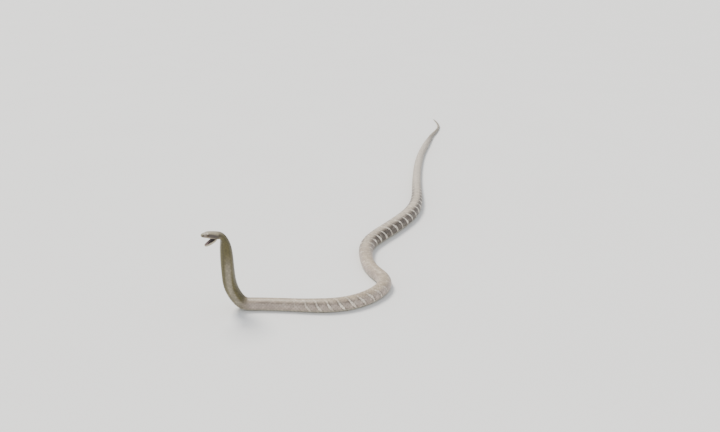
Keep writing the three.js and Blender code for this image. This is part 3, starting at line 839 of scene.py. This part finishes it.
# Borders of the head's shields, as places behind the snout and shares of the way from the crown to the lip
upperBorders = [
    [(3.2, 0), (3.0, 0.2), (3.4, 0.42), (4.2, 0.7), (4.8, 1.05)],
    [(3.2, 0), (16.3, 0)], [(9.2, 0), (8.8, 0.2), (8.2, 0.42)],
    [(3.4, 0.42), (8.2, 0.42), (12.5, 0.46), (17, 0.46)],
    [(16.3, 0), (15.8, 0.12), (15.5, 0.2), (15.3, 0.33), (17, 0.46)],
    [(15.5, 0.2), (22, 0.17), (28, 0.155), (32, 0.09), (35.5, 0)], [(28, 0.155), (31, 0.3), (32.8, 0.46)],
    [(17, 0.46), (22, 0.49), (30, 0.49), (32.8, 0.46)], [(35.5, 0), (50, 0)],
    [(32.8, 0.46), (40, 0.44), (48, 0.38), (50.8, 0.2), (50, 0)], [(50, 0), (62, 0)],
    [(48, 0.38), (54, 0.4), (60, 0.34), (62.5, 0.17), (62, 0)],
    [(8.2, 0.42), (9.8, 0.58), (9.6, 0.74)], [(6.4, 0.42), (7, 0.55), (6.8, 0.74)],
    [(4.2, 0.72), (9.6, 0.74), (17, 0.76), (22, 0.8)], [(30.5, 0.8), (36, 0.77), (46, 0.74), (53, 0.72)],
    [(36.5, 0.46), (37, 0.6), (36.6, 0.77)], [(31, 0.58), (36.8, 0.57)], [(31, 0.69), (36.8, 0.67)],
    [(36.8, 0.61), (46, 0.6), (54, 0.58)], [(46.5, 0.39), (46, 0.6)], [(45, 0.6), (45.5, 0.75)],
    [(54, 0.4), (54.5, 0.58), (53, 0.72)],
]
upperBorders += [[(at, 0.75), (at + 0.7, 1.05)] for at in (9.7, 16.4, 23.6, 31.6, 38.4, 44.8, 51)]
jawBorders = [
    [(5.6, 0), (5.7, 0.4), (5.2, 1.05)],
    [(5.7, 0.52), (10, 0.56), (20, 0.6), (30, 0.63), (40, 0.66), (52, 0.68)],
    [(5.6, 0), (31, 0)], [(18.5, 0), (17.5, 0.26), (16, 0.55)], [(31, 0), (30, 0.25), (27, 0.42), (16, 0.55)],
]
jawBorders += [[(at, 0.6), (at - 0.5, 1.05)] for at in (9.2, 13.6, 18.8, 25, 31.6, 38, 44.6)]


unroll = {"rows": 90, "columns": 181, "lipBand": 0.6}


# Lays a half of the head out flat: each point's place, its way round from the middle line, and the lip's way
def unrolled(table, points, fromBelow):
    at = np.clip(head["length"] - points[:, 0], table[0, 0], table[-1, 0])
    places = np.linspace(table[0, 0], table[-1, 0], unroll["rows"])
    across, up = section(table, places[:, None], np.linspace(0, math.pi, unroll["columns"])[None, :])
    wide = along(table, places, 4)[:, None]
    if fromBelow:
        across, up = across[:, ::-1], up[:, ::-1]
    arc = np.cumsum(np.hypot(np.diff(across), np.diff(up)), axis=1)
    arc = np.concatenate([np.zeros((len(places), 1)), arc], axis=1)
    lipRow = along(table, places, 2 if fromBelow else 3)
    past = np.abs(up - lipRow[:, None]) < unroll["lipBand"]
    lip = np.array([a[row.argmax()] if row.any() else a[-1] for a, row in zip(arc, past)])
    sign = -1 if fromBelow else 1
    polar = np.arctan2(across, sign * (up - wide))
    own = np.arctan2(np.abs(points[:, 1]), sign * (points[:, 2] - along(table, at, 4)))
    row = (at - places[0]) / (places[-1] - places[0]) * (len(places) - 1)
    i = np.clip(row.astype(int), 0, len(places) - 2)
    t = row - i
    near = np.array([np.interp(o, polar[k], arc[k]) for o, k in zip(own, i)])
    far = np.array([np.interp(o, polar[k + 1], arc[k + 1]) for o, k in zip(own, i)])
    reach = lip[i] * (1 - t) + lip[i + 1] * t
    return at, near * (1 - t) + far * t, reach, lambda where: np.interp(where, places, lip)


def borderDistance(at, run, reachAt, borders):
    least = np.full(len(at), 1e3)
    for line in borders:
        knots = np.array([(a, g * reachAt(a)) for a, g in line])
        for start, end in zip(knots[:-1], knots[1:]):
            way = end - start
            t = np.clip(((at - start[0]) * way[0] + (run - start[1]) * way[1]) / (way @ way), 0, 1)
            least = np.minimum(least, np.hypot(at - start[0] - t * way[0], run - start[1] - t * way[1]))
    return least


# distance to the borders of small scales set in a slanting net
def netDistance(at, run, long, wide):
    a, b = at / long, run / wide
    p, q = a + b, a - b
    return np.minimum(np.abs(p - np.round(p)), np.abs(q - np.round(q))) / math.hypot(1 / long, 1 / wide)


def distanceTo(mesh, points):
    tree = BVHTree.FromPolygons([v.co for v in mesh.vertices], [p.vertices for p in mesh.polygons])
    return np.array([tree.find_nearest(p)[3] for p in points])


# turns points of the right side over to the left
def mirrored(points):
    return np.where(points[:, 1:2] < 0, (1, -1, 1), (1, 1, 1))


# Middle of the left eye and the way it looks
eyeMiddle = np.array([head["length"] - eye["back"], eye["side"], eye["height"]])
gaze = np.array([math.sin(math.radians(eye["toe"])), math.cos(math.radians(eye["toe"])), eye["up"]])
gaze /= np.linalg.norm(gaze)


# Opens the skin in front of each eye, in a round rim that stands a little over the ball
def openEyes(points):
    side = mirrored(points)
    offset = points * side - eyeMiddle
    out = offset @ gaze
    radial = offset - out[:, None] * gaze
    off = np.maximum(np.linalg.norm(radial, axis=1), 1e-6)
    radial /= off[:, None]
    top = math.sqrt(eye["radius"] ** 2 - eye["opening"] ** 2) + eye["rim"]
    top = top + eye["hood"] * np.clip(offset[:, 2] / eye["opening"], 0, 1)
    fade = np.clip((off - eye["opening"] - eye["rimWidth"]) / eye["rimFade"], 0, 1)
    rim = np.maximum(out, top) + (out - np.maximum(out, top)) * fade * fade * (3 - 2 * fade)
    ring = np.abs(off - eye["opening"]) < eye["snap"]
    within = (off < eye["opening"]) & ~ring
    sunk = np.minimum(out, np.sqrt(np.maximum(eye["radius"] ** 2 - off ** 2, 0)) - eye["behind"])
    height = np.where(within, sunk, np.where(ring, top, rim))
    opened = eyeMiddle + height[:, None] * gaze + np.where(ring, eye["opening"], off)[:, None] * radial
    near = (out > 0) & (off < eye["opening"] + eye["rimWidth"] + eye["rimFade"])
    return np.where(near[:, None], opened * side, points)


# Head and front of the neck in the head's frame, cut open at the back, and the shapes they came from
def headSolid():
    upperShell, jawShell = shell(upperHead, "upperShell"), moved(shell(lowerJaw, "jawShell"), jawTurn)
    roof = mouthHollow(upperHead, 3, mouth["palateRise"], "roof")
    ground = moved(mouthHollow(lowerJaw, 2, -mouth["floorDrop"], "mouthFloor"), jawTurn)
    windpipe = moved(ball("windpipe", glottis["size"], glottis["back"], 0, glottis["height"]), jawTurn)
    slit = moved(ball("slit", glottis["slit"], glottis["back"] - glottis["slitAhead"], 0,
                      glottis["height"] + glottis["slitUp"]), jawTurn)
    gums = [ball("gum", fang["gum"], fang["back"] + fang["gumBack"], side * fang["side"], fang["gumHeight"])
            for side in (-1, 1)]
    parts = [carved(upperShell, roof), carved(jawShell, ground), neckShell(), carved(windpipe, slit), *gums]
    whole = joined(parts, "wholeHead")
    whole = withModifier(whole, "REMESH", mode="VOXEL", voxel_size=head["voxel"])
    for side in (-1, 1):
        whole = carved(whole, ball("nostril", nostril["size"], nostril["back"], side * nostril["side"],
                                   nostril["height"]))
    bm = bmesh.new()
    bm.from_mesh(whole)
    point, tail = spineFrame(skin["joinAt"])[:2]
    bmesh.ops.bisect_plane(bm, geom=[*bm.verts, *bm.edges, *bm.faces], plane_co=toHead(point[None])[0],
                           plane_no=headAxes @ tail, clear_outer=True)
    for _ in range(head["smoothings"]):
        inner = [v for v in bm.verts if not v.is_boundary]
        bmesh.ops.smooth_vert(bm, verts=inner, factor=0.5, use_axis_x=True, use_axis_y=True, use_axis_z=True)
    bmesh.ops.recalc_face_normals(bm, faces=bm.faces)
    return meshFrom(bm, "headForm"), upperShell, jawShell, [roof, ground, *gums, windpipe]


# for points of the upper head: places behind the snout, shares of the way to the lip, distances to a border
def upperShields(points):
    at, run, reach, reachAt = unrolled(upperHead, points, False)
    distance = borderDistance(at, run, reachAt, upperBorders)
    share = run / reach
    netted = np.zeros(len(at), bool)
    for behind, under in shield["cheeks"]:
        netted |= (at > behind) & (share > under)
    distance = np.where(netted, np.minimum(netDistance(at, run, *shield["cheekNet"]), distance), distance)
    eyeRun = unrolled(upperHead, (eyeMiddle + eye["front"] * gaze)[None], False)[1]
    fromEye = np.hypot(at - eye["back"], run - eyeRun[0])
    distance = np.where(fromEye < eye["ringInside"], shield["away"], distance)
    return at, share, np.minimum(distance, np.abs(fromEye - eye["ring"]))


# the same for the lower jaw, with its points turned shut
def jawShields(points):
    at, run, reach, reachAt = unrolled(lowerJaw, jawTurn(points, opened=False), True)
    distance = borderDistance(at, run, reachAt, jawBorders)
    share = run / reach
    netted = (at > shield["chin"][0]) & (share < shield["chin"][1]) | (at > shield["jawEnd"])
    return share, np.where(netted, np.minimum(netDistance(at, run, *shield["chinNet"]), distance), distance)


# The head with its shields, folds and eye rims let in, and the values that its points carry
def headForm():
    form, upperShell, jawShell, mouthShapes = headSolid()
    points = coordinates(form)
    normals = np.empty(points.size, np.float32)
    form.vertex_normals.foreach_get("vector", normals)
    normals = normals.reshape(-1, 3)
    toUpper, toJaw, toNeck = (distanceTo(mesh, points) for mesh in (upperShell, jawShell, neckShell()))
    toMouth = np.minimum.reduce([distanceTo(mesh, points) for mesh in mouthShapes])
    lining = np.clip((mouth["liningTo"] - toMouth) / mouth["liningFade"], 0, 1)
    onJaw = (toJaw < toUpper) & (toJaw < toNeck + shield["jawOver"])
    onNeck = (toNeck < toUpper) & ~onJaw & (points[:, 0] < shield["neckAhead"])
    at, share, distance = upperShields(points)
    jawShare, jawDistance = jawShields(points)
    distance = np.where(onJaw, jawDistance, distance)
    turn = np.arctan2(np.abs(points[:, 1]), points[:, 2]) / math.pi
    throat = onNeck & (turn > shield["throatFrom"]) & (points[:, 0] > shield["throatAhead"] - scute["first"])
    throatNet = netDistance(-points[:, 0], turn * shield["throatHalf"], *shield["throatNet"])
    distance = np.where(throat, throatNet, np.where(onNeck, shield["away"], distance))
    grooves = np.exp(-(distance / shield["grooveWidth"]) ** 2)
    swell = 1 - np.exp(-(distance / shield["bulgeWidth"]) ** 2)
    relief = shield["bulge"] * swell - shield["groove"] * grooves
    rise = np.where(onNeck, throat * relief, (1 - lining) * (relief - head["sunk"]))
    x, y = points[:, 0], points[:, 1]
    waver = y * fold["wide"] + fold["sway"][0] * np.sin(x * fold["sway"][1])
    waver = waver + fold["wobble"][0] * np.sin(y * fold["wobble"][1])
    folds = lining * fold["height"] * np.cos(waver) * np.clip((at - fold["from"]) / fold["fade"], 0, 1)
    moved(form, lambda co: openEyes(co + normals * (rise + folds)[:, None]))
    headAround = np.clip(share, 0, 1) * headRounds["lip"]
    jawAround = np.clip(headRounds["chin"] - headRounds["jaw"] * jawShare, headRounds["jawLip"], 1)
    around = np.where(onNeck, turn, np.where(onJaw, jawAround, headAround))
    place = np.where(onNeck, -x, -np.maximum(x, 0.5))
    # painted shade in each nostril, and in the mouth's lining deeper in
    nostrilSpot = (head["length"] - nostril["back"], nostril["side"], nostril["height"])
    within = np.linalg.norm(points * mirrored(points) - nostrilSpot, axis=1)
    nostrilShade = np.clip((nostril["dark"] - within) / nostril["fade"], 0, 1)
    deep = np.maximum(np.clip((at - mouth["deepFrom"]) / mouth["deepFade"], 0, 1) * lining, nostrilShade)
    # seam is painted shade in the shields' grooves and all over the neck's skin under the scales
    data = {"place": place, "around": around, "lining": np.maximum(lining, nostrilShade), "deep": deep,
            "seamShade": np.where(onNeck & ~throat, 1, grooves)}
    print("head", len(form.polygons), "faces")
    return form, data


def addSkin():
    form, data = headForm()
    bm = bmesh.new()
    layers = {name: bm.verts.layers.float.new(name) for name in ("place", "around", "lining", "deep", "seamShade")}
    bm.from_mesh(form)
    bm.verts.ensure_lookup_table()
    world = fromHead(coordinates(form)) * metre
    for i, v in enumerate(bm.verts):
        v.co = world[i]
        for name, layer in layers.items():
            v[layer] = data[name][i]
    rim = [e for e in bm.edges if e.is_boundary]
    start = skin["joinAt"] + skin["joinGap"]
    rows = int((body["length"] - start) / skin["rowStep"])
    made = bmesh.ops.create_grid(bm, x_segments=skin["columns"], y_segments=rows, size=1)["verts"]
    flat = np.array([v.co[:2] for v in made])
    place = start + (flat[:, 1] + 1) / 2 * (body["length"] - start)
    points = onBody(place, flat[:, 0], -coatDepth(place)) * metre
    for v, co, s, f in zip(made, points, place, flat[:, 0]):
        v.co = co
        v[layers["place"]] = s
        v[layers["around"]] = f
        # the body's skin under the scales takes the seams' full painted shade
        v[layers["seamShade"]] = 1
    bmesh.ops.remove_doubles(bm, verts=made, dist=1e-6)
    firstRow = [e for e in bm.edges if e.is_boundary and e not in set(rim)
                and all(v[layers["place"]] < start + 0.5 for v in e.verts)]
    bmesh.ops.bridge_loops(bm, edges=rim + firstRow)
    bmesh.ops.holes_fill(bm, edges=[e for e in bm.edges if e.is_boundary], sides=0)
    bmesh.ops.recalc_face_normals(bm, faces=bm.faces)
    values = {name: np.array([v[layer] for v in bm.verts]) for name, layer in layers.items()}
    mesh = meshFrom(bm, "skin")
    tone = np.full(len(mesh.vertices), 0.5)
    setMarks(mesh, values["place"], values["around"], tone, values["seamShade"])
    setVectors(mesh, "mouth", np.stack([values["lining"], values["deep"], 0 * tone], axis=-1))
    mesh.shade_smooth()
    obj = newObject("skin", mesh, skinHide)
    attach(obj, "root")
    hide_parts("head", "lower_jaw", "hood", "neck_base", "forebody", "near_bend_front",
                "near_bend_rear", "body_sweep", "midbody_front", "midbody_rear", "rearbody_front",
                "rearbody_rear", "tail_base", "tail_tip")
    print("skin", len(mesh.polygons), "faces")


addSkin()


# Eyes: round pupil in a bronze iris under a clear, glossy scale
eyeTones = {
    "streaks": (linear(66, 46, 24), linear(118, 88, 48)), "outer": linear(34, 25, 15),
    "ring": linear(150, 112, 58), "pupil": linear(8, 7, 6), "rim": linear(16, 13, 10), "outerFrom": 2.3,
    "ringWidth": 0.45, "rimWidth": 0.4,
}


# gaze = millimetres from the ball's middle along its look, forward and up
def eyeMaterial():
    sheet = NodeSheet("eyeGloss")
    seen = sheet.attribute("gaze").outputs["Vector"]
    _, forward, up = sheet.split(seen)
    radius = sheet.math("SQRT", sheet.math("ADD", sheet.times(forward, forward), sheet.times(up, up)))
    iris = sheet.mix(sheet.step(sheet.noise(seen, 2.2, 3), 0.35, 0.7), *eyeTones["streaks"])
    iris = sheet.mix(sheet.step(radius, eyeTones["outerFrom"], eye["iris"]), iris, eyeTones["outer"])
    ring = sheet.math("SUBTRACT", 1.0, sheet.step(radius, eye["pupil"], eye["pupil"] + eyeTones["ringWidth"]))
    iris = sheet.mix(sheet.times(ring, 0.6), iris, eyeTones["ring"])
    color = sheet.mix(sheet.step(radius, eye["pupil"] - 0.1, eye["pupil"] + 0.1), eyeTones["pupil"], iris)
    outside = sheet.step(radius, eye["iris"], eye["iris"] + eyeTones["rimWidth"])
    color = sheet.mix(outside, color, eyeTones["rim"])
    sheet.set(color=color, roughness=0.2, specular=0.3, coat=0.45, coatRoughness=0.03)
    return sheet.material


def addEyes():
    material = eyeMaterial()
    for name, node, side in (("eyeLeft", "eye_left", 1), ("eyeRight", "eye_right", -1)):
        mesh = ball(name, (eye["radius"],) * 3, eye["back"], side * eye["side"], eye["height"],
                    eye["segments"])
        local = coordinates(mesh) * (1, side, 1) - eyeMiddle
        ahead = np.cross(gaze, (0, 0, 1))
        ahead /= np.linalg.norm(ahead)
        seen = np.stack([local @ gaze, local @ ahead, local @ np.cross(ahead, gaze)], axis=-1)
        setVectors(mesh, "gaze", seen)
        moved(mesh, lambda co: fromHead(co) * metre)
        mesh.shade_smooth()
        obj = newObject(name, mesh, material)
        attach(obj, "root")
        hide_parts(node)
        print(name, len(mesh.polygons), "faces")


# Rows of small teeth that run back from the front one
palateTooth = {
    "count": 7, "back": 20, "apart": 3.4, "side": 5.2, "wider": 0.25, "root": -2, "higher": 0.1,
    "length": 2.1, "radius": 0.4, "curve": 0.9, "segments": (5, 6),
}
jawTooth = {
    "count": 8, "back": 9, "apart": 3.1, "inside": 3.1, "root": -7.6, "length": 2.3, "radius": 0.42,
    "curve": 0.8, "segments": (5, 6),
}


def toothMaterial():
    sheet = NodeSheet("toothIvory")
    grain = sheet.noise(sheet.objectPlace(), 900, 2)
    color = sheet.mix(grain, linear(226, 216, 190), linear(240, 234, 216))
    sheet.set(color=color, roughness=0.28, specular=0.5)
    return sheet.material


# a cone that curves back, down from its root or, with a way of 1, up
def tooth(name, kind, back, side, root, way=-1):
    def pointsAt(run, turn):
        wide = kind["radius"] * (1 - run) ** 0.75 + 0.05
        angle = turn * 2 * math.pi
        x = head["length"] - back - kind["curve"] * run ** 2 + wide * np.cos(angle)
        return np.stack([x, side + wide * np.sin(angle), root + way * kind["length"] * run], axis=-1)
    return tubeMesh(name, *kind["segments"], pointsAt)


def addTeeth():
    meshes = []
    for side in (-1, 1):
        meshes.append(tooth("fang", fang, fang["back"], side * fang["side"], fang["root"]))
        for i in range(palateTooth["count"]):
            across = palateTooth["side"] + palateTooth["wider"] * i
            root = palateTooth["root"] + palateTooth["higher"] * i
            back = palateTooth["back"] + palateTooth["apart"] * i
            meshes.append(tooth("palate", palateTooth, back, side * across, root))
        for i in range(jawTooth["count"]):
            back = jawTooth["back"] + jawTooth["apart"] * i
            across = side * (float(along(lowerJaw, back)) - jawTooth["inside"])
            meshes.append(moved(tooth("mandible", jawTooth, back, across, jawTooth["root"], 1), jawTurn))
    mesh = moved(joined(meshes, "teeth"), lambda co: fromHead(co) * metre)
    mesh.shade_smooth()
    obj = newObject("teeth", mesh, toothMaterial())
    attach(obj, "root")
    print("teeth", len(meshes), "in", len(mesh.polygons), "faces")


addEyes()
addTeeth()


# Floor, light and camera
studio = {
    "floorSize": 400, "floorAhead": 30, "floor": (226, 225, 221), "patches": 0.96, "world": 1.4,
    "sky": (226, 230, 238), "sunFrom": (-0.55, 0.62, 1.25), "sunSpread": 22, "sunPower": 4.6,
    "sunColor": (1, 0.96, 0.9), "camera": (-0.0466, -4.1136, 1.27), "pitch": 20.5, "lens": 32.5, "sensor": 36,
    "farthest": 200,
}


def addFloor():
    bm = bmesh.new()
    bmesh.ops.create_grid(bm, x_segments=1, y_segments=1, size=studio["floorSize"] / 2)
    bmesh.ops.translate(bm, verts=bm.verts, vec=(0, studio["floorAhead"], 0))
    sheet = NodeSheet("studioFloor")
    pale = linear(*studio["floor"])
    darker = tuple(c * studio["patches"] for c in pale)
    color = sheet.mix(sheet.noise(sheet.objectPlace(), 1.2, 2), pale, darker)
    sheet.set(color=color, roughness=0.85, specular=0.2)
    obj = newObject("floor", meshFrom(bm, "floor"), sheet.material)


def addSun():
    light = bpy.data.lights.new("softSun", "SUN")
    light.angle = math.radians(studio["sunSpread"])
    light.energy = studio["sunPower"]
    light.color = studio["sunColor"]
    obj = bpy.data.objects.new("softSun", light)
    obj.rotation_euler = Vector(studio["sunFrom"]).to_track_quat("Z", "Y").to_euler()
    bpy.context.collection.objects.link(obj)


def addCamera():
    camera = bpy.data.cameras.new("camera")
    camera.lens = studio["lens"]
    camera.sensor_width = studio["sensor"]
    camera.sensor_fit = "HORIZONTAL"
    camera.clip_end = studio["farthest"]
    obj = bpy.data.objects.new("camera", camera)
    obj.location = studio["camera"]
    obj.rotation_euler = (math.radians(90 - studio["pitch"]), 0, 0)
    bpy.context.collection.objects.link(obj)
    bpy.context.scene.camera = obj


def addWorld():
    world = bpy.data.worlds.new("studio")
    world.use_nodes = True
    back = world.node_tree.nodes["Background"]
    back.inputs[0].default_value = (*linear(*studio["sky"]), 1)
    back.inputs[1].default_value = studio["world"]
    bpy.context.scene.world = world


addFloor()
addSun()
addCamera()
addWorld()
print("floor, sun, sky and camera")
